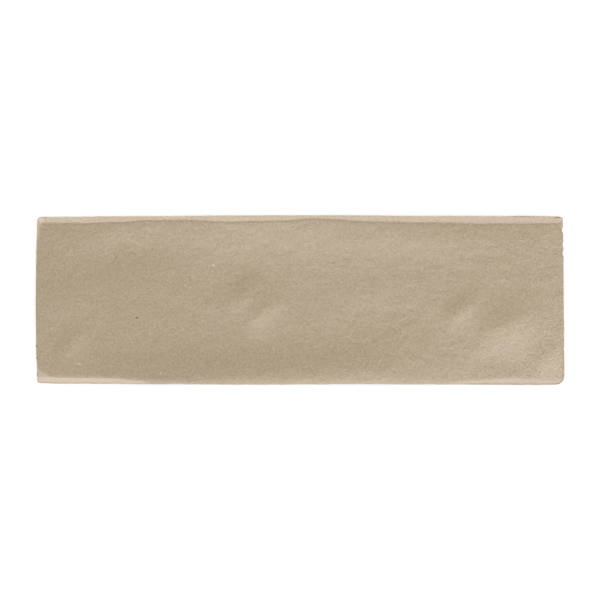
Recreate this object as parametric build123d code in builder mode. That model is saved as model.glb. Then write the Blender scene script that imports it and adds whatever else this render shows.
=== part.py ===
"""A pressed and glazed ceramic wall tile with a hand-made look, lying face up.

The tile is one fired piece. Its face is a gently wavy field inside a wandering ridge, outside
which a rim falls away to the edges. The outline bows a little on every side, its right edge
is bitten in a few places, and its back has the pressed pockets that key it to the adhesive.
The origin is at the middle of the back, +X runs along the tile and +Z points out of the face.
All sizes are in millimetres.
"""

import os
from math import cos, exp, pi, radians, sin, tan

from build123d import *

# The whole tile
length = 200.0
width = 64.3
thickness = 8.5
half_length = length / 2
half_width = width / 2

# The outline. Each pair is a share of the half side and how far the side lies inside its
# straight line there. Left and right run upwards, top and bottom run to the right.
bow_left = ((-0.86, 0.55), (-0.55, 0.15), (0.0, 0.0), (0.5, 0.18), (0.86, 0.5))
bow_right = ((-0.85, 0.0), (-0.5, 0.05), (0.0, 0.2), (0.5, 0.3), (0.82, 0.45))
bow_top = ((-0.9, 0.6), (-0.6, 0.35), (-0.15, 0.05), (0.15, 0.0), (0.45, 0.25), (0.9, 0.3))
bow_bottom = ((-0.9, 0.5), (-0.5, 0.25), (-0.15, 0.1), (0.2, 0.25), (0.6, 0.15), (0.9, 0.0))
top_left_inset = 0.7
top_right_inset = 0.6
bottom_left_inset = 0.8
bottom_right_inset = 0.15
top_left_radius = 1.6
top_right_radius = 1.3
bottom_left_radius = 0.7
bottom_right_radius = 3.2

# The ridge between field and rim, in the same pairs
ridge_left = ((-0.97, 0.6), (-0.6, 0.6), (-0.3, 0.5), (0.3, 0.5), (0.6, 0.6), (0.8, 1.5), (0.95, 2.2))
ridge_right = ((-0.9, 0.7), (0.0, 0.6), (0.5, 0.7), (0.78, 0.9), (0.86, 1.9), (0.95, 2.3))
ridge_top = (
    (-0.83, 3.3),
    (-0.68, 2.9),
    (-0.57, 2.15),
    (-0.42, 2.1),
    (-0.27, 2.75),
    (-0.1, 2.4),
    (0.07, 1.5),
    (0.25, 2.55),
    (0.45, 3.0),
    (0.68, 3.45),
    (0.93, 3.4),
)
ridge_bottom = (
    (-0.93, 2.9),
    (-0.75, 2.7),
    (-0.62, 1.8),
    (-0.5, 0.8),
    (-0.2, 0.6),
    (0.2, 0.7),
    (0.52, 0.8),
    (0.68, 1.9),
    (0.83, 2.6),
    (0.93, 2.4),
)

# The fall of the rim in degrees, at the ridge and at the outer edge, and how far the surface
# that forms it runs past each of them
fall_top = (10.0, 17.0)
fall_bottom = (5.0, 10.0)
fall_ends = (9.0, 17.0)
rim_reach = (6.0, 3.0)

# The blank before the face is formed: room for the waves, and the lean of its walls' top
wave_room = 1.0
lean_height = 1.9
lean_depth = 0.6

# The waves of the field: middle x and y, reach along and across, turn, and rise
swells = (
    (-16.0, 35.0, 56.0, 15.0, 0.0, 0.7),
    (48.0, 25.0, 28.0, 8.0, 0.0, 0.15),
    (-40.0, -30.5, 42.0, 9.0, 2.0, 0.5),
    (14.0, -28.5, 32.0, 9.0, 2.0, 0.32),
    (28.0, -8.0, 16.0, 7.0, 15.0, -0.08),
    (-66.0, 18.0, 18.0, 7.0, 10.0, -0.15),
    (-21.5, 1.5, 6.0, 5.0, 45.0, 0.22),
    (-16.0, -5.0, 8.0, 5.0, 48.0, 0.24),
    (72.0, -8.0, 12.0, 7.0, 25.0, 0.2),
    (83.0, -26.0, 16.0, 12.0, 0.0, -0.2),
    (66.0, -1.0, 5.0, 3.5, 30.0, 0.13),
    (94.0, -22.0, 7.0, 4.0, 50.0, 0.12),
    (101.0, -33.0, 16.0, 10.0, 35.0, -0.35),
    (104.0, 5.0, 8.0, 30.0, 0.0, -0.18),
    (-87.0, -17.0, 7.0, 4.0, 60.0, 0.12),
    (-90.0, 0.0, 9.0, 8.0, 0.0, 0.08),
)
wave_spacing = 3.0
wave_margin = 8.0

# The bites along the right edge, through the full height: distance below the top corner, and depth
bites = ((5.65, 0.5), (11.25, 0.4), (14.45, 0.45), (50.6, 0.25))
bite_radius = 2.2

# The pressed back
pocket_size = 7.5
pocket_land = 2.0
pocket_depth = 0.7
pocket_corner = 0.8
pocket_draft = 20.0
back_border = 4.0
back_chamfer = 0.6


def inset(stations, share):
    """The distance inside the straight line, eased from one station to the next."""
    for (share_0, inset_0), (share_1, inset_1) in zip(stations, stations[1:]):
        if share <= share_1:
            way = max(share - share_0, 0) / (share_1 - share_0)
            return inset_0 + (inset_1 - inset_0) * (1 - cos(pi * way)) / 2
    return stations[-1][1]


def in_plan(side, share, distance):
    """The point at a share of the half side and a distance inside its straight line."""
    return {
        "left": (distance - half_length, share * half_width),
        "right": (half_length - distance, share * half_width),
        "top": (share * half_length, half_width - distance),
        "bottom": (share * half_length, distance - half_width),
    }[side]


def field_height(x, y):
    """The height of the wavy field above the back."""
    height = thickness
    for middle_x, middle_y, along, across, turn, rise in swells:
        c, s = cos(radians(turn)), sin(radians(turn))
        u = ((x - middle_x) * c + (y - middle_y) * s) / along
        v = ((y - middle_y) * c - (x - middle_x) * s) / across
        height += rise * exp(-(u * u + v * v))
    return height


def field_surface():
    """The field as one smooth surface that runs past the outline."""
    reach_x = half_length + wave_margin
    reach_y = half_width + wave_margin
    columns = round(2 * reach_x / wave_spacing)
    rows = round(2 * reach_y / wave_spacing)
    points = []
    for i in range(columns + 1):
        x = reach_x * (2 * i / columns - 1)
        ys = [reach_y * (2 * j / rows - 1) for j in range(rows + 1)]
        points.append([(x, y, field_height(x, y)) for y in ys])
    return Face.make_surface_from_array_of_points(points, tol=0.005)


def rim_surface(side, bow, ridge, fall, stations):
    """The rim along one side: it crosses the field at the ridge and steepens outwards."""
    slope_at_ridge, slope_at_edge = [tan(radians(angle)) for angle in fall]
    reach_in, reach_out = rim_reach
    points = []
    for i in range(stations + 1):
        share = 2.2 * i / stations - 1.1
        outer = inset(bow, share)
        inner = inset(ridge, share)
        crest = field_height(*in_plan(side, share, inner))
        rim_width = inner - outer
        bend = (slope_at_edge - slope_at_ridge) / 2 / rim_width
        inwards = (-reach_in, -reach_in / 2, 0.0)
        outwards = (rim_width / 2, rim_width, rim_width + reach_out / 2, rim_width + reach_out)
        column = []
        for away in inwards + outwards:
            drop = away * slope_at_ridge
            if away > 0:
                drop += bend * min(away, rim_width) ** 2
                drop += max(away - rim_width, 0) * 2 * bend * rim_width
            x, y = in_plan(side, share, inner - away)
            column.append((x, y, crest - drop))
        points.append(column)
    return Face.make_surface_from_array_of_points(points, tol=0.01)


with BuildPart() as tile:
    # The body, from its bowed outline, with leaning walls at the top and an eased edge at the back
    with BuildSketch():
        with BuildLine():
            low_left = (bottom_left_inset - half_length, bottom_left_inset - half_width)
            top_left = (top_left_inset - half_length, half_width - top_left_inset)
            low_right = (half_length - bottom_right_inset, bottom_right_inset - half_width)
            top_right = (half_length - top_right_inset, half_width - top_right_inset)
            Spline(low_left, *[in_plan("left", *pair) for pair in bow_left], top_left)
            Spline(top_left, *[in_plan("top", *pair) for pair in bow_top], top_right)
            Spline(low_right, *[in_plan("right", *pair) for pair in bow_right], top_right)
            Spline(low_left, *[in_plan("bottom", *pair) for pair in bow_bottom], low_right)
        make_face()
    extrude(amount=thickness + wave_room)
    for point, radius in (
        (low_left, bottom_left_radius),
        (top_left, top_left_radius),
        (low_right, bottom_right_radius),
        (top_right, top_right_radius),
    ):
        upright = tile.edges().filter_by(Axis.Z).sort_by_distance((*point, thickness / 2))[0]
        fillet(upright, radius)
    top = tile.faces().sort_by(Axis.Z)[-1]
    chamfer(top.edges(), lean_depth, lean_height, reference=top)
    chamfer(tile.faces().sort_by(Axis.Z)[0].edges(), back_chamfer)

    # The wavy field, then the rim along each side
    split(bisect_by=field_surface(), keep=Keep.BOTTOM)
    for side, bow, ridge, fall, stations in (
        ("top", bow_top, ridge_top, fall_top, 60),
        ("bottom", bow_bottom, ridge_bottom, fall_bottom, 90),
        ("left", bow_left, ridge_left, fall_ends, 24),
        ("right", bow_right, ridge_right, fall_ends, 24),
    ):
        surface = rim_surface(side, bow, ridge, fall, stations)
        faces_up = surface.normal_at(surface.center()).Z > 0
        split(bisect_by=surface, keep=Keep.BOTTOM if faces_up else Keep.TOP)

    # The bites along the right edge
    for below_corner, depth in bites:
        y = half_width - below_corner
        edge = half_length - inset(bow_right, y / half_width)
        with Locations((edge + bite_radius - depth, y)):
            Cylinder(bite_radius, 2 * (thickness + wave_room), mode=Mode.SUBTRACT)

    # The even grid of pockets pressed into the back
    pitch = pocket_size + pocket_land
    along = 2 * int((length - 2 * back_border + pocket_land) / pitch / 2)
    across = 2 * int((width - 2 * back_border + pocket_land) / pitch / 2)
    with BuildSketch(mode=Mode.PRIVATE) as pocket:
        Rectangle(pocket_size, pocket_size)
        chamfer(pocket.vertices(), pocket_corner)
    with BuildSketch():
        with GridLocations(pitch, pitch, along, across):
            add(pocket.sketch)
    extrude(amount=pocket_depth, taper=pocket_draft, mode=Mode.SUBTRACT)

os.makedirs("parts", exist_ok=True)
tile.part.label = "tile"
export_step(tile.part, "parts/tile.step")
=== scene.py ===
"""A hand-made-look ceramic wall tile lying face up on a white table, seen from straight above."""

import bpy
import numpy as np
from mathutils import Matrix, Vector


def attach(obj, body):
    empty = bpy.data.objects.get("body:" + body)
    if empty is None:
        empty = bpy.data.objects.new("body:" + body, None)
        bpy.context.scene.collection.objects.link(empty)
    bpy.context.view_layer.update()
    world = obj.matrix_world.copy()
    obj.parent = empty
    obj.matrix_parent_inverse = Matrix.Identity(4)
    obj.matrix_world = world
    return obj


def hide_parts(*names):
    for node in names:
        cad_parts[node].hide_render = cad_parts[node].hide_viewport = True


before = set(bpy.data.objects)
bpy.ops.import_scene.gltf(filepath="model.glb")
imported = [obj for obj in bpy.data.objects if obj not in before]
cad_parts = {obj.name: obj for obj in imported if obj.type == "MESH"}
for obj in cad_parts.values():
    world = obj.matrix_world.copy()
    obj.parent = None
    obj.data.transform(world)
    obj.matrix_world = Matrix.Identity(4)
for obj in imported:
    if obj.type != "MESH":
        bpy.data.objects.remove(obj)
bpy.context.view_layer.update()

# The tile.
# One piece of light earthenware, pressed in a mould with a wavy face, bowed sides and a pocketed
# back, then dipped face down in a satin taupe glaze and fired. All sizes here are in millimetres.
MM = 0.001
length, width, thickness = 200.0, 64.3, 8.5
half_length, half_width = length / 2, width / 2

# Each pair is a share of the half side and a distance inside the side's straight line. Left and
# right run upwards, top and bottom run to the right.
bow_left = ((-1, 0.8), (-0.86, 0.55), (-0.55, 0.15), (0, 0), (0.5, 0.18), (0.86, 0.5), (1, 0.7))
bow_right = ((-1, 0.15), (-0.85, 0), (-0.5, 0.05), (0, 0.2), (0.5, 0.3), (0.82, 0.45), (1, 0.6))
bow_top = (
    (-1, 0.7), (-0.9, 0.6), (-0.6, 0.35), (-0.15, 0.05),
    (0.15, 0), (0.45, 0.25), (0.9, 0.3), (1, 0.6),
)
bow_bottom = (
    (-1, 0.8), (-0.9, 0.5), (-0.5, 0.25), (-0.15, 0.1),
    (0.2, 0.25), (0.6, 0.15), (0.9, 0), (1, 0.15),
)
# The ridge between field and rim.
ridge_left = (
    (-0.97, 0.6), (-0.6, 0.6), (-0.3, 0.5), (0.3, 0.5), (0.6, 0.6), (0.8, 1.5), (0.95, 2.2),
)
ridge_right = ((-0.9, 0.7), (0, 0.6), (0.5, 0.7), (0.78, 0.9), (0.86, 1.9), (0.95, 2.3))
ridge_top = (
    (-0.83, 3.3), (-0.68, 2.9), (-0.57, 2.15), (-0.42, 2.1), (-0.27, 2.75), (-0.1, 2.4),
    (0.07, 1.5), (0.25, 2.55), (0.45, 3.0), (0.68, 3.45), (0.93, 3.4),
)
ridge_bottom = (
    (-0.93, 2.9), (-0.75, 2.7), (-0.62, 1.8), (-0.5, 0.8), (-0.2, 0.6), (0.2, 0.7),
    (0.52, 0.8), (0.68, 1.9), (0.83, 2.6), (0.93, 2.4),
)
# The glaze runs thin outside the ridges, and at the two left corners up to these lines; the paler
# colour there is partly thin glaze and partly painted sheen.
thin_bottom_and_painted_sheen = (
    (-0.99, 6.4), (-0.965, 4.7), (-0.94, 3.4), (-0.91, 3.0), (-0.69, 2.75),
    (-0.62, 1.9), (-0.55, 0.8), (-0.5, 0.4), (0.3, 0.4), (0.52, 0.8),
    (0.68, 1.8), (0.8, 2.75), (0.87, 2.0), (0.95, 1.8),
)
thin_left_and_painted_sheen = (
    (-0.97, 0.6), (-0.6, 0.6), (-0.3, 0.5), (0.3, 0.5), (0.6, 1.0), (0.8, 2.2), (0.95, 3.6),
)
# Each side's outline and ridge, and its rim's fall in degrees at the ridge and at the outer edge.
rims = {
    "top": (bow_top, ridge_top, 10.0, 17.0),
    "bottom": (bow_bottom, ridge_bottom, 5.0, 10.0),
    "left": (bow_left, ridge_left, 9.0, 17.0),
    "right": (bow_right, ridge_right, 9.0, 17.0),
}
ridge_softness = 0.035
# The line where the glaze starts to run thin, how far outwards it takes to get thinnest, and how
# thin it is then at the side's two ends. Past 1 it breaks right through, as on the arris. The paler
# colour this gives is partly thin glaze and partly painted sheen.
thin_glaze_and_painted_sheen = {
    "top": (ridge_top, 2.2, 0.12, 0.18),
    "bottom": (thin_bottom_and_painted_sheen, 0.5, 0.75, 0.22),
    "left": (thin_left_and_painted_sheen, 1.4, 0.9, 0.9),
    "right": (ridge_right, 0.8, 0.8, 0.6),
}
arris_reach, arris_blend, arris_thinness = 0.3, 0.2, 2.0

# The waves: middle x and y, reach along and across, turn in degrees, and rise.
swells = (
    (-16.0, 35.0, 56.0, 15.0, 0.0, 0.7),
    (48.0, 25.0, 28.0, 8.0, 0.0, 0.15),
    (-40.0, -30.5, 42.0, 9.0, 2.0, 0.5),
    (14.0, -28.5, 32.0, 9.0, 2.0, 0.32),
    (28.0, -8.0, 16.0, 7.0, 15.0, -0.08),
    (-66.0, 18.0, 18.0, 7.0, 10.0, -0.15),
    (-21.5, 1.5, 7.5, 5.0, 45.0, 0.24),
    (-14.8, -4.6, 8.5, 5.0, 48.0, 0.23),
    (78.0, -9.5, 12.0, 7.0, 25.0, 0.24),
    (83.0, -26.0, 16.0, 12.0, 0.0, -0.2),
    (61.0, -3.8, 6.0, 4.0, 45.0, 0.2),
    (94.0, -22.0, 7.0, 4.0, 50.0, 0.12),
    (101.0, -33.0, 16.0, 10.0, 35.0, -0.35),
    (104.0, 5.0, 8.0, 30.0, 0.0, -0.18),
    (-87.0, -17.0, 7.0, 4.0, 60.0, 0.12),
    (-90.0, 0.0, 9.0, 8.0, 0.0, 0.08),
)
# Corner signs in x and y, with the radius there.
corners = ((-1, 1, 1.6), (1, 1, 1.3), (-1, -1, 0.7), (1, -1, 3.2))
# The bites in the right edge, down its full height: place up the side, and depth.
bites = ((26.5, 0.5), (20.9, 0.4), (17.7, 0.45), (-18.45, 0.25))
bite_radius = 2.2
# The arris, from the face outwards: distance inside the outline, and drop below the face's edge.
arris_steps = ((0.30, 0.0), (0.19, 0.035), (0.10, 0.10), (0.03, 0.21), (0.0, 0.36))
wall_heights = (6.9, 6.2, 5.4, 4.5, 3.6, 2.7, 1.8, 1.1, 0.6)
back_chamfer = 0.6
pocket_size, pocket_land = 7.5, 2.0
pockets_along, pockets_across = 20, 6
# The mesh over the face: its spacing, about what both ends and both rims take of the length and
# the width, half the strip along the top ridge, the step in from the bottom one, the least rim.
cell = 0.47
ends, long_rims = 4.0, 5.0
top_strip, bottom_strip, least_rim = 0.3, 0.15, 0.3


def eased(stations, share):
    """The distance inside the straight line, eased from one station to the next."""
    shares, insets = np.array(stations, float).T
    i = np.clip(np.searchsorted(shares, share) - 1, 0, len(shares) - 2)
    way = np.clip((share - shares[i]) / (shares[i + 1] - shares[i]), 0, 1)
    return insets[i] + (insets[i + 1] - insets[i]) * (1 - np.cos(np.pi * way)) / 2


def field_height(x, y):
    """The height of the wavy field above the back."""
    height = np.full_like(x, thickness)
    for middle_x, middle_y, along, across, turn, rise in swells:
        c, s = np.cos(np.radians(turn)), np.sin(np.radians(turn))
        u = ((x - middle_x) * c + (y - middle_y) * s) / along
        v = ((y - middle_y) * c - (x - middle_x) * s) / across
        height += rise * np.exp(-(u * u + v * v))
    return height


def from_side(x, y, side):
    """A place's share of the half side, and its distance inside the side's straight line."""
    return {
        "top": (x / half_length, half_width - y), "bottom": (x / half_length, half_width + y),
        "left": (y / half_width, half_length + x), "right": (y / half_width, half_length - x),
    }[side]


def rim_height(x, y, side):
    """The height of one side's rim, which leaves the field at the ridge and steepens outwards."""
    bow, ridge, inner_angle, outer_angle = rims[side]
    inner_slope, outer_slope = np.tan(np.radians((inner_angle, outer_angle)))
    share, inside = from_side(x, y, side)
    outer, inner = eased(bow, share), eased(ridge, share)
    foot = {
        "top": (x, half_width - inner), "bottom": (x, inner - half_width),
        "left": (inner - half_length, y), "right": (half_length - inner, y),
    }[side]
    away, rim = inner - inside, inner - outer
    bend = (outer_slope - inner_slope) / 2 / rim
    fall = away * inner_slope + bend * np.clip(away, 0, rim) ** 2
    fall += np.maximum(away - rim, 0) * 2 * bend * rim
    return field_height(*foot) - fall


def face_height(x, y):
    """The glazed face: the field, or the rim where that is lower, with a softened ridge between."""
    field = field_height(x, y)
    rim = np.min([rim_height(x, y, side) for side in rims], axis=0)
    lower = np.minimum(field, rim)
    return lower - ridge_softness * np.log1p(np.exp(-np.abs(field - rim) / ridge_softness))


def glaze_thinness_and_painted_sheen(x, y):
    """How thin the glaze has run, with painted sheen on the rims: not on the field, some outside
    each ridge, most on the arris.
    """
    thinness_and_sheen = np.zeros_like(x)
    for side, (line, reach, most_at_start, most_at_end) in thin_glaze_and_painted_sheen.items():
        share, inside = from_side(x, y, side)
        away = eased(line, share) - inside
        most = most_at_start + (most_at_end - most_at_start) * (share + 1) / 2
        thinness_and_sheen = np.maximum(thinness_and_sheen, most * np.clip(away / reach, 0, 1))
        to_edge = inside - eased(rims[side][0], share)
        on_arris = np.clip((arris_reach - to_edge) / arris_blend, 0, 1)
        thinness_and_sheen = np.maximum(thinness_and_sheen, arris_thinness * on_arris)
    return thinness_and_sheen


def bite_depth(y):
    """How far the right edge is bitten in at a place up the side."""
    reach = np.sqrt(np.maximum(bite_radius**2 - np.stack([(y - at) ** 2 for at, _ in bites]), 0))
    depths = np.array([depth for _, depth in bites]).reshape(-1, *[1] * y.ndim)
    return np.maximum((reach + depths).max(axis=0) - bite_radius, 0)


def spread(counts, lines, position):
    """Spaces grid lines evenly between neighbouring edges, so that they follow the ridges."""
    marks = np.concatenate([[0], np.cumsum(counts)])
    i = np.clip(np.searchsorted(marks, position, side="right") - 1, 0, len(counts) - 1)
    way = (position - marks[i]) / np.array(counts)[i]
    stack = np.stack(np.broadcast_arrays(*lines))
    low = np.take_along_axis(stack, i[None], 0)[0]
    high = np.take_along_axis(stack, i[None] + 1, 0)[0]
    return low + (high - low) * way


# Columns run up the face: those over the left rim, the field and the right rim. Rows run along it:
# those over the bottom rim, the field, the strip along the top ridge and the top rim. Each bowed
# line depends on the place along the other side, so the two are settled in a few rounds.
rounds = 6
column_counts = (5, round((length - ends) / cell), 5)
row_counts = (6, round((width - long_rims) / cell), 4, 6)
columns, rows = sum(column_counts), sum(row_counts)
across, along = np.meshgrid(np.arange(rows + 1), np.arange(columns + 1))
x = length * (along / columns - 0.5)
y = width * (across / rows - 0.5)
edge_inset = arris_steps[0][0]
for _ in range(rounds):
    up, right = y / half_width, x / half_length
    left = eased(bow_left, up) + edge_inset
    right_end = eased(bow_right, up) + edge_inset + bite_depth(y)
    x = spread(column_counts, (
        left - half_length,
        np.maximum(eased(ridge_left, up), left + least_rim) - half_length,
        half_length - np.maximum(eased(ridge_right, up), right_end + least_rim),
        half_length - right_end,
    ), along)
    y = spread(row_counts, (
        eased(bow_bottom, right) + edge_inset - half_width,
        eased(ridge_bottom, right) + bottom_strip - half_width,
        half_width - eased(ridge_top, right) - top_strip,
        half_width - eased(ridge_top, right) + top_strip,
        half_width - eased(bow_top, right) - edge_inset,
    ), across)

# Each corner's square of the grid is drawn in to a quarter circle.
for sign_x, sign_y, radius in corners:
    column, row = -(sign_x > 0), -(sign_y > 0)
    centre_x = x[column, row] - sign_x * (radius - edge_inset)
    centre_y = y[column, row] - sign_y * (radius - edge_inset)
    a, b = (x - centre_x) * sign_x, (y - centre_y) * sign_y
    pull = np.where((a > 0) & (b > 0), np.maximum(a, b) / np.maximum(np.hypot(a, b), 1e-9), 1)
    x = centre_x + sign_x * a * pull
    y = centre_y + sign_y * b * pull
z = face_height(x, y)

# The loop round the face, then rings over the arris and down the walls.
loop = [(i, 0) for i in range(columns)] + [(columns, j) for j in range(rows)]
loop += [(i, rows) for i in range(columns, 0, -1)] + [(0, j) for j in range(rows, 0, -1)]
loop_i, loop_j = np.array(loop).T
ring_x, ring_y, ring_z = x[loop_i, loop_j], y[loop_i, loop_j], z[loop_i, loop_j]
step_x = np.roll(ring_x, -2) - np.roll(ring_x, 2)
step_y = np.roll(ring_y, -2) - np.roll(ring_y, 2)
out_x, out_y = step_y / np.hypot(step_x, step_y), -step_x / np.hypot(step_x, step_y)

steps = [(inset, ring_z - drop) for inset, drop in arris_steps[1:]]
steps += [(0.0, np.full_like(ring_z, height)) for height in wall_heights]
steps += [(back_chamfer, np.zeros_like(ring_z))]
number = np.arange((columns + 1) * (rows + 1)).reshape(columns + 1, rows + 1)
points = [np.stack([x.ravel(), y.ravel(), z.ravel()], 1)]
rings = [number[loop_i, loop_j]]
for place, (inset, height) in enumerate(steps):
    offset = edge_inset - inset
    points.append(np.stack([ring_x + out_x * offset, ring_y + out_y * offset, height], 1))
    rings.append(number.size + place * len(loop) + np.arange(len(loop)))

quads = [np.stack([number[:-1, :-1], number[1:, :-1], number[1:, 1:], number[:-1, 1:]], -1)]
for upper, lower in zip(rings, rings[1:]):
    quads.append(np.stack([upper, lower, np.roll(lower, -1), np.roll(upper, -1)], 1))
faces = [face for part in quads for face in part.reshape(-1, 4).tolist()]

# The back's plain border: triangles from the last ring in to the straight edge of the pockets.
pitch = pocket_size + pocket_land
end_x, end_y = pockets_along * pitch / 2, pockets_across * pitch / 2
edge = [(pitch * i - end_x, -end_y) for i in range(pockets_along)]
edge += [(end_x, pitch * j - end_y) for j in range(pockets_across)]
edge += [(-edge_x, -edge_y) for edge_x, edge_y in edge]
points.append(np.array([(edge_x, edge_y, 0.0) for edge_x, edge_y in edge]))
outer = rings[-1]
inner = number.size + len(steps) * len(loop) + np.arange(len(edge))
i = j = 0
for fine, coarse in ((columns, pockets_along), (rows, pockets_across)) * 2:
    start_i, start_j = i, j
    while i < start_i + fine or j < start_j + coarse:
        base = [outer[i % len(outer)], inner[j % len(inner)]]
        if (i - start_i + 0.5) / fine < (j - start_j + 0.5) / coarse:
            i += 1
            faces.append(base + [outer[i % len(outer)]])
        else:
            j += 1
            faces.append(base + [inner[j % len(inner)]])
pressed = bpy.data.meshes.new("pressed tile")
pressed.from_pydata((np.concatenate(points) * MM).tolist(), [], faces)
tile = bpy.data.objects.new("glazed_tile", pressed)
bpy.context.scene.collection.objects.link(tile)


def linear(hex_colour):
    """A colour written as sRGB hex, as the linear values a shader takes."""
    srgb = [int(hex_colour[i:i + 2], 16) / 255 for i in (1, 3, 5)]
    return [v / 12.92 if v <= 0.04045 else ((v + 0.055) / 1.055) ** 2.4 for v in srgb] + [1.0]


def add_node(tree, kind, inputs=None, **settings):
    """Adds a node, with its settings, and fills its inputs from values or from other sockets."""
    node = tree.nodes.new(kind)
    for name, value in settings.items():
        setattr(node, name, value)
    for name, value in (inputs or {}).items():
        if isinstance(value, bpy.types.NodeSocket):
            tree.links.new(value, node.inputs[name])
        else:
            node.inputs[name].default_value = value
    return node


# Satin earthenware glaze, taken on thickly in the dip, so that it fires to a fine orange peel under
# an even sheen. It is paler and warmer outside the ridges and most on the arris, partly because it
# runs thin there and partly as painted sheen on the rims, and stops in a ragged line on the walls,
# below which the cream biscuit is bare and chalky. A speckle in its colour is painted light and
# shade of the fine orange peel. The real peel and flecks are finer, and are drawn as coarse as they
# need to show.
glaze_stop, glaze_edge, glaze_run, glaze_run_size = 7.3 * MM, 0.2 * MM, 3.2 * MM, 5.5 * MM
painted_peel_shade_size, fleck_size = 0.77 * MM, 1.1 * MM
peel_size, peel_relief = 0.6 * MM, 0.022 * MM
glaze = bpy.data.materials.new("satin taupe glaze on cream biscuit")
glaze.use_nodes = True
tree = glaze.node_tree
tree.nodes.clear()
place = add_node(tree, "ShaderNodeTexCoord").outputs["Object"]
height = add_node(tree, "ShaderNodeSeparateXYZ", {0: place}).outputs["Z"]
run = add_node(tree, "ShaderNodeTexNoise", {
    "Vector": place, "Scale": 1 / glaze_run_size, "Detail": 3.0,
})
line = add_node(tree, "ShaderNodeMath", {
    0: run.outputs[0], 1: glaze_run, 2: height,
}, operation="MULTIPLY_ADD")
covered = add_node(tree, "ShaderNodeMapRange", {
    "Value": line.outputs[0], "From Min": glaze_stop, "From Max": glaze_stop + glaze_edge,
}).outputs[0]
# The grain is turned off the axes, so that no layer of it lies level with the face.
slanted = add_node(tree, "ShaderNodeMapping", {
    "Vector": place, "Rotation": (0.6, 0.4, 0.7),
}).outputs[0]
# A speckle painted into the glaze colour: painted light and shade of the fine orange peel.
painted_peel_shade = add_node(tree, "ShaderNodeTexNoise", {
    "Vector": slanted, "Scale": 1 / painted_peel_shade_size, "Detail": 1.0,
})
tone = add_node(tree, "ShaderNodeMix", {
    0: painted_peel_shade.outputs[0], 6: linear("#877558"), 7: linear("#B0A085"),
}, data_type="RGBA")
fleck = add_node(tree, "ShaderNodeTexNoise", {
    "Vector": place, "Scale": 1 / fleck_size, "Detail": 2.0,
})
biscuit = add_node(tree, "ShaderNodeMix", {
    0: fleck.outputs[0], 6: linear("#CDB79A"), 7: linear("#E2D2BC"),
}, data_type="RGBA")
# The paler colour outside the ridges: partly thin glaze, partly painted sheen.
thin_and_sheen = add_node(tree, "ShaderNodeAttribute", attribute_name="glaze thinness and painted sheen").outputs["Fac"]
glazed = add_node(tree, "ShaderNodeMix", {
    0: thin_and_sheen, 6: tone.outputs[2], 7: linear("#BCAB94"),
}, data_type="RGBA")
broken = add_node(tree, "ShaderNodeMath", {0: thin_and_sheen, 1: 1.0}, operation="SUBTRACT", use_clamp=True)
glazed = add_node(tree, "ShaderNodeMix", {
    0: broken.outputs[0], 6: glazed.outputs[2], 7: linear("#E6D6C0"),
}, data_type="RGBA")
# Marks in the glaze: middle x and y, and reach along and across. In turn they are bare pale specks,
# fainter ones with a short dash, painted shade inside a pinhole and in spots along the left and top
# right edges, painted shadow along stretches of the top edge, and a peach fringe of bare body along
# the bottom left, painted bright as a lit wall. They stay on the face and its arris.
mark_height, mark_reach = 8.5 * MM, 1.5 * MM
for hex_colour, marks in (
    ("#DACBB4", (
        (-32.7, 13.0, 0.38, 0.38), (-52.7, -27.6, 0.3, 0.3), (55.5, -26.1, 0.3, 0.25),
        (95.2, 28.1, 0.4, 0.2), (-62.0, -6.1, 0.3, 0.25),
    )),
    ("#C0B094", (
        (-83.5, -24.1, 1.4, 0.3), (-96.4, -20.2, 0.4, 0.3), (-76.2, -28.6, 0.4, 0.3),
        (-6.1, 16.4, 0.3, 0.3), (-35.2, 27.9, 0.3, 0.3), (-91.8, 10.2, 0.3, 0.25),
        (90.3, 25.8, 0.35, 0.3), (95.7, 20.0, 0.4, 0.3), (-93.9, -10.7, 0.3, 0.25),
    )),
    # Painted shade: inside a pinhole, and spots along the left and top right edges where the walls
    # below are in shade.
    ("#523F29", (
        (-61.7, -6.75, 0.7, 0.6), (97.3, 31.2, 2.0, 0.4), (-99.7, 18.1, 0.3, 0.4),
        (-99.7, 12.1, 0.3, 0.3), (-99.5, -17.4, 0.35, 0.6), (-99.5, -22.0, 0.35, 0.4),
        (-99.4, -28.0, 0.35, 0.8),
    )),
    # Painted shadow along two stretches of the top edge, where the top wall is in shade.
    ("#85764F", ((-96.8, 31.45, 1.7, 0.35), (84.0, 31.65, 8.0, 0.28))),
    # Peach of the bare body along the bottom left, painted bright as the lit bottom wall.
    ("#E6C3A6", ((-74.0, -32.0, 17.0, 0.5),)),
):
    for middle_x, middle_y, reach_x, reach_y in marks:
        off = add_node(tree, "ShaderNodeVectorMath", {
            0: place, 1: (middle_x * MM, middle_y * MM, mark_height),
        }, operation="SUBTRACT")
        scaled = add_node(tree, "ShaderNodeVectorMath", {
            0: off.outputs[0], 1: (reach_x * MM, reach_y * MM, mark_reach),
        }, operation="DIVIDE")
        far = add_node(tree, "ShaderNodeVectorMath", {0: scaled.outputs[0]}, operation="LENGTH")
        hit = add_node(tree, "ShaderNodeMapRange", {
            "Value": far.outputs["Value"], "From Min": 1.0, "From Max": 0.5,
        })
        glazed = add_node(tree, "ShaderNodeMix", {
            0: hit.outputs[0], 6: glazed.outputs[2], 7: linear(hex_colour),
        }, data_type="RGBA")
colour = add_node(tree, "ShaderNodeMix", {
    0: covered, 6: biscuit.outputs[2], 7: glazed.outputs[2],
}, data_type="RGBA")
roughness = add_node(tree, "ShaderNodeMapRange", {"Value": covered, "To Min": 0.9, "To Max": 0.25})
fine_peel = add_node(tree, "ShaderNodeTexNoise", {
    "Vector": slanted, "Scale": 1 / peel_size, "Detail": 1.0,
})
relief = add_node(tree, "ShaderNodeBump", {
    "Height": fine_peel.outputs[0], "Strength": 1.0, "Distance": peel_relief,
})
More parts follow.
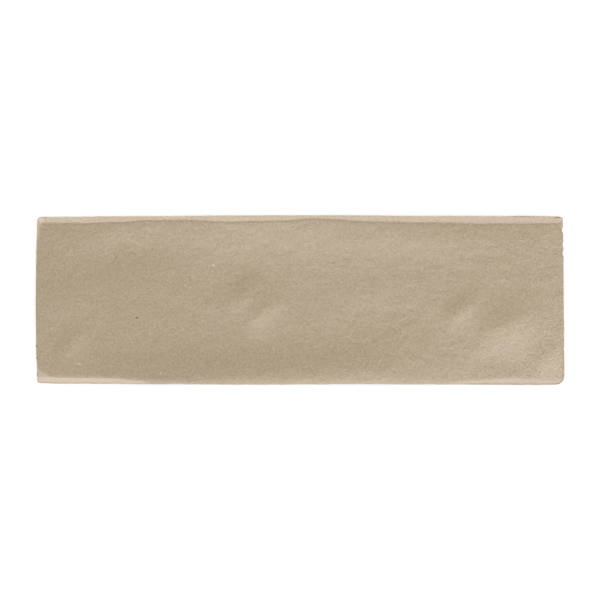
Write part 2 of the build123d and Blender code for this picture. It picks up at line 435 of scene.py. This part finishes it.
surface = add_node(tree, "ShaderNodeBsdfPrincipled", {
    "Base Color": colour.outputs[2], "Roughness": roughness.outputs[0], "IOR": 1.5,
    "Specular Tint": linear("#FFF2ED"), "Normal": relief.outputs[0],
})
add_node(tree, "ShaderNodeOutputMaterial", {"Surface": surface.outputs[0]})

# Geometry Nodes sink the face to its orange peel and dimples, and press the pockets into the back:
# one pocket with its square of land is built, repeated over a lattice and welded to the border.
highest_noise = 0.8
face_upright = 0.8
crease_angle = 0.6
weld = 0.005 * MM
press = bpy.data.node_groups.new("orange peel and back pockets", "GeometryNodeTree")
press.interface.new_socket("Geometry", in_out="OUTPUT", socket_type="NodeSocketGeometry")
sizes = []
for name, kind, value in (
    ("Geometry", "NodeSocketGeometry", None),
    ("Peel grain", "NodeSocketFloat", 1.4 * MM),
    ("Peel depth", "NodeSocketFloat", 0.055 * MM),
    ("Dimple size", "NodeSocketFloat", 6.0 * MM),
    ("Dimple depth", "NodeSocketFloat", 0.09 * MM),
    ("Pocket size", "NodeSocketFloat", pocket_size * MM),
    ("Pocket land", "NodeSocketFloat", pocket_land * MM),
    ("Pocket depth", "NodeSocketFloat", 0.7 * MM),
    ("Pocket corner", "NodeSocketFloat", 0.8 * MM),
    ("Pocket draft", "NodeSocketFloat", 0.93),
    ("Pockets along", "NodeSocketInt", pockets_along),
    ("Pockets across", "NodeSocketInt", pockets_across),
):
    socket = press.interface.new_socket(name, in_out="INPUT", socket_type=kind)
    sizes.append((socket.identifier, value))
given = add_node(press, "NodeGroupInput").outputs
where = add_node(press, "GeometryNodeInputPosition").outputs[0]
normal = add_node(press, "GeometryNodeInputNormal").outputs[0]
depths = []
for size, depth, detail in (
    ("Peel grain", "Peel depth", 2.0),
    ("Dimple size", "Dimple depth", 1.0),
):
    per_metre = add_node(press, "ShaderNodeMath", {0: 1.0, 1: given[size]}, operation="DIVIDE")
    grain = add_node(press, "ShaderNodeTexNoise", {
        "Vector": where, "Scale": per_metre.outputs[0], "Detail": detail, "Roughness": 0.6,
    })
    below = add_node(press, "ShaderNodeMath", {
        0: grain.outputs[0], 1: highest_noise,
    }, operation="SUBTRACT")
    depths.append(add_node(press, "ShaderNodeMath", {
        0: below.outputs[0], 1: given[depth],
    }, operation="MULTIPLY").outputs[0])
amount = add_node(press, "ShaderNodeMath", {0: depths[0], 1: depths[1]}, operation="ADD")
push = add_node(press, "ShaderNodeVectorMath", {
    0: normal, "Scale": amount.outputs[0],
}, operation="SCALE")
upright = add_node(press, "ShaderNodeSeparateXYZ", {0: normal}).outputs["Z"]
on_face = add_node(press, "ShaderNodeMath", {0: upright, 1: face_upright}, operation="GREATER_THAN")
peeled = add_node(press, "GeometryNodeSetPosition", {
    "Geometry": given["Geometry"], "Selection": on_face.outputs[0], "Offset": push.outputs[0],
})
square = add_node(press, "GeometryNodeCurvePrimitiveQuadrilateral", {
    "Width": given["Pocket size"], "Height": given["Pocket size"],
})
rounded = add_node(press, "GeometryNodeFilletCurve", {
    "Curve": square.outputs[0], "Radius": given["Pocket corner"], "Count": 2,
}, mode="POLY")
mouth = add_node(press, "GeometryNodeFillCurve", {"Curve": rounded.outputs[0]}, mode="NGONS")
deep = add_node(press, "ShaderNodeCombineXYZ", {"Z": given["Pocket depth"]})
punch = add_node(press, "GeometryNodeExtrudeMesh", {
    "Mesh": mouth.outputs[0], "Offset": deep.outputs[0], "Individual": False,
})
drafted = add_node(press, "GeometryNodeScaleElements", {
    "Geometry": punch.outputs["Mesh"], "Selection": punch.outputs["Top"],
    "Scale": given["Pocket draft"],
})
spacing = add_node(press, "ShaderNodeMath", {
    0: given["Pocket size"], 1: given["Pocket land"],
}, operation="ADD")
plot = add_node(press, "GeometryNodeCurvePrimitiveQuadrilateral", {
    "Width": spacing.outputs[0], "Height": spacing.outputs[0],
})
ring = add_node(press, "GeometryNodeJoinGeometry")
press.links.new(plot.outputs[0], ring.inputs[0])
press.links.new(rounded.outputs[0], ring.inputs[0])
land = add_node(press, "GeometryNodeFillCurve", {"Curve": ring.outputs[0]}, mode="TRIANGLES")
both = add_node(press, "GeometryNodeJoinGeometry")
press.links.new(drafted.outputs[0], both.inputs[0])
press.links.new(land.outputs[0], both.inputs[0])
pocket = add_node(press, "GeometryNodeFlipFaces", {"Mesh": both.outputs[0]})
spans = []
for count in ("Pockets along", "Pockets across"):
    gaps = add_node(press, "ShaderNodeMath", {0: given[count], 1: 1.0}, operation="SUBTRACT")
    spans.append(add_node(press, "ShaderNodeMath", {
        0: gaps.outputs[0], 1: spacing.outputs[0],
    }, operation="MULTIPLY"))
lattice = add_node(press, "GeometryNodeMeshGrid", {
    "Size X": spans[0].outputs[0], "Size Y": spans[1].outputs[0],
    "Vertices X": given["Pockets along"], "Vertices Y": given["Pockets across"],
})
pockets = add_node(press, "GeometryNodeInstanceOnPoints", {
    "Points": lattice.outputs[0], "Instance": pocket.outputs[0],
})
real = add_node(press, "GeometryNodeRealizeInstances", {"Geometry": pockets.outputs[0]})
body = add_node(press, "GeometryNodeJoinGeometry")
press.links.new(peeled.outputs[0], body.inputs[0])
press.links.new(real.outputs[0], body.inputs[0])
keyed = add_node(press, "GeometryNodeMergeByDistance", {
    "Geometry": body.outputs[0], "Distance": weld,
})
smooth = add_node(press, "GeometryNodeSetShadeSmooth", {"Geometry": keyed.outputs[0]})
fold = add_node(press, "GeometryNodeInputMeshEdgeAngle").outputs[0]
sharp = add_node(press, "ShaderNodeMath", {0: fold, 1: crease_angle}, operation="GREATER_THAN")
creased = add_node(press, "GeometryNodeSetShadeSmooth", {
    "Geometry": smooth.outputs[0], "Selection": sharp.outputs[0], "Shade Smooth": False,
}, domain="EDGE")
whole = add_node(press, "GeometryNodeRealizeInstances", {"Geometry": creased.outputs[0]})
finished = add_node(press, "GeometryNodeSetMaterial", {
    "Geometry": whole.outputs[0], "Material": glaze,
})
add_node(press, "NodeGroupOutput", {0: finished.outputs[0]})

nodes_modifier = tile.modifiers.new("press", "NODES")
nodes_modifier.node_group = press
for identifier, value in sizes:
    if value is not None:
        nodes_modifier[identifier] = value
pressed_object = tile.evaluated_get(bpy.context.evaluated_depsgraph_get())
tile.data = bpy.data.meshes.new_from_object(pressed_object)
tile.modifiers.clear()
tile.data.materials.clear()
tile.data.materials.append(glaze)
spots = np.empty(3 * len(tile.data.vertices))
tile.data.vertices.foreach_get("co", spots)
spot_x, spot_y, _ = spots.reshape(-1, 3).T / MM
# The thin glaze and painted sheen go on the mesh as a point attribute.
thinness_and_sheen = tile.data.attributes.new("glaze thinness and painted sheen", "FLOAT", "POINT")
thinness_and_sheen.data.foreach_set("value", glaze_thinness_and_painted_sheen(spot_x, spot_y))
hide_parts("tile")
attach(tile, "root")

# The white table.
# A plain matt white table top, seen pure white by the camera and in reflections, which still
# takes the tile's soft shadow.
table_reach, table_gap, table_glow = 3.0, 0.03 * MM, 0.84
table_points = [
    (table_reach * side_x, table_reach * side_y, -table_gap)
    for side_x, side_y in ((-1, -1), (1, -1), (1, 1), (-1, 1))
]
table_mesh = bpy.data.meshes.new("table top")
table_mesh.from_pydata(table_points, [], [(0, 1, 2, 3)])
table = bpy.data.objects.new("table", table_mesh)
bpy.context.scene.collection.objects.link(table)
white = bpy.data.materials.new("matt white table top")
white.use_nodes = True
tree = white.node_tree
tree.nodes.clear()


def seen_rays(tree):
    """Gives 1 for rays from the camera, also by way of a reflection or through glass, else 0."""
    rays = add_node(tree, "ShaderNodeLightPath").outputs
    seen = add_node(tree, "ShaderNodeMath", {
        0: rays["Is Camera Ray"], 1: rays["Is Glossy Ray"],
    }, operation="ADD")
    return add_node(tree, "ShaderNodeMath", {
        0: seen.outputs[0], 1: rays["Is Transmission Ray"],
    }, operation="ADD").outputs[0]


glow = add_node(tree, "ShaderNodeMath", {0: seen_rays(tree), 1: table_glow}, operation="MULTIPLY")
matt = add_node(tree, "ShaderNodeBsdfDiffuse", {"Color": linear("#868686")})
lit = add_node(tree, "ShaderNodeEmission", {"Strength": glow.outputs[0]})
paper_white = add_node(tree, "ShaderNodeAddShader", {0: matt.outputs[0], 1: lit.outputs[0]})
add_node(tree, "ShaderNodeOutputMaterial", {"Surface": paper_white.outputs[0]})
table_mesh.materials.append(white)

# The studio.
# A white room with four large softboxes, the strongest over the tile's lower edge and none straight
# above, so that a level glaze stays dark and a tilted one catches the light.
room_light = 0.06
world = bpy.data.worlds.new("white studio")
bpy.context.scene.world = world
world.use_nodes = True
tree = world.node_tree
tree.nodes.clear()
strength = add_node(tree, "ShaderNodeMapRange", {
    "Value": seen_rays(tree), "To Min": room_light, "To Max": 1.0,
})
room = add_node(tree, "ShaderNodeBackground", {
    "Color": linear("#FFFFFF"), "Strength": strength.outputs[0],
})
add_node(tree, "ShaderNodeOutputWorld", {"Surface": room.outputs[0]})

# Azimuth, degrees off the vertical, width, height and brightness.
softbox_distance = 2.6
softboxes = (
    ("key softbox", -72, 14, 1.3, 1.0, 8.0),
    ("back softbox", 93, 28, 1.2, 0.9, 8.0),
    ("right softbox", 5, 33, 0.6, 0.9, 4.5),
    ("left softbox", 180, 34, 0.5, 0.9, 4.5),
)
for name, azimuth, tilt, wide, high, brightness in softboxes:
    lamp = bpy.data.lights.new(name, "AREA")
    lamp.shape = "RECTANGLE"
    lamp.size, lamp.size_y = wide, high
    lamp.energy = np.pi * wide * high * brightness
    softbox = bpy.data.objects.new(name, lamp)
    bpy.context.scene.collection.objects.link(softbox)
    a, t = np.radians(azimuth), np.radians(tilt)
    spot = Vector((np.sin(t) * np.cos(a), np.sin(t) * np.sin(a), np.cos(t))) * softbox_distance
    softbox.location = spot
    softbox.rotation_euler = spot.to_track_quat("Z", "Y").to_euler()

# The camera looks straight down through a long lens. The photograph's 600 pixels are 226.8 mm.
camera = bpy.data.cameras.new("camera")
camera_height, seen_width = 3.0, 0.2268
camera.sensor_width = 36.0
camera.lens = camera.sensor_width * (camera_height - thickness * MM) / seen_width
camera_object = bpy.data.objects.new("camera", camera)
camera_object.location = (0, 0, camera_height)
bpy.context.scene.collection.objects.link(camera_object)
bpy.context.scene.camera = camera_object
bpy.context.scene.view_settings.view_transform = "Standard"
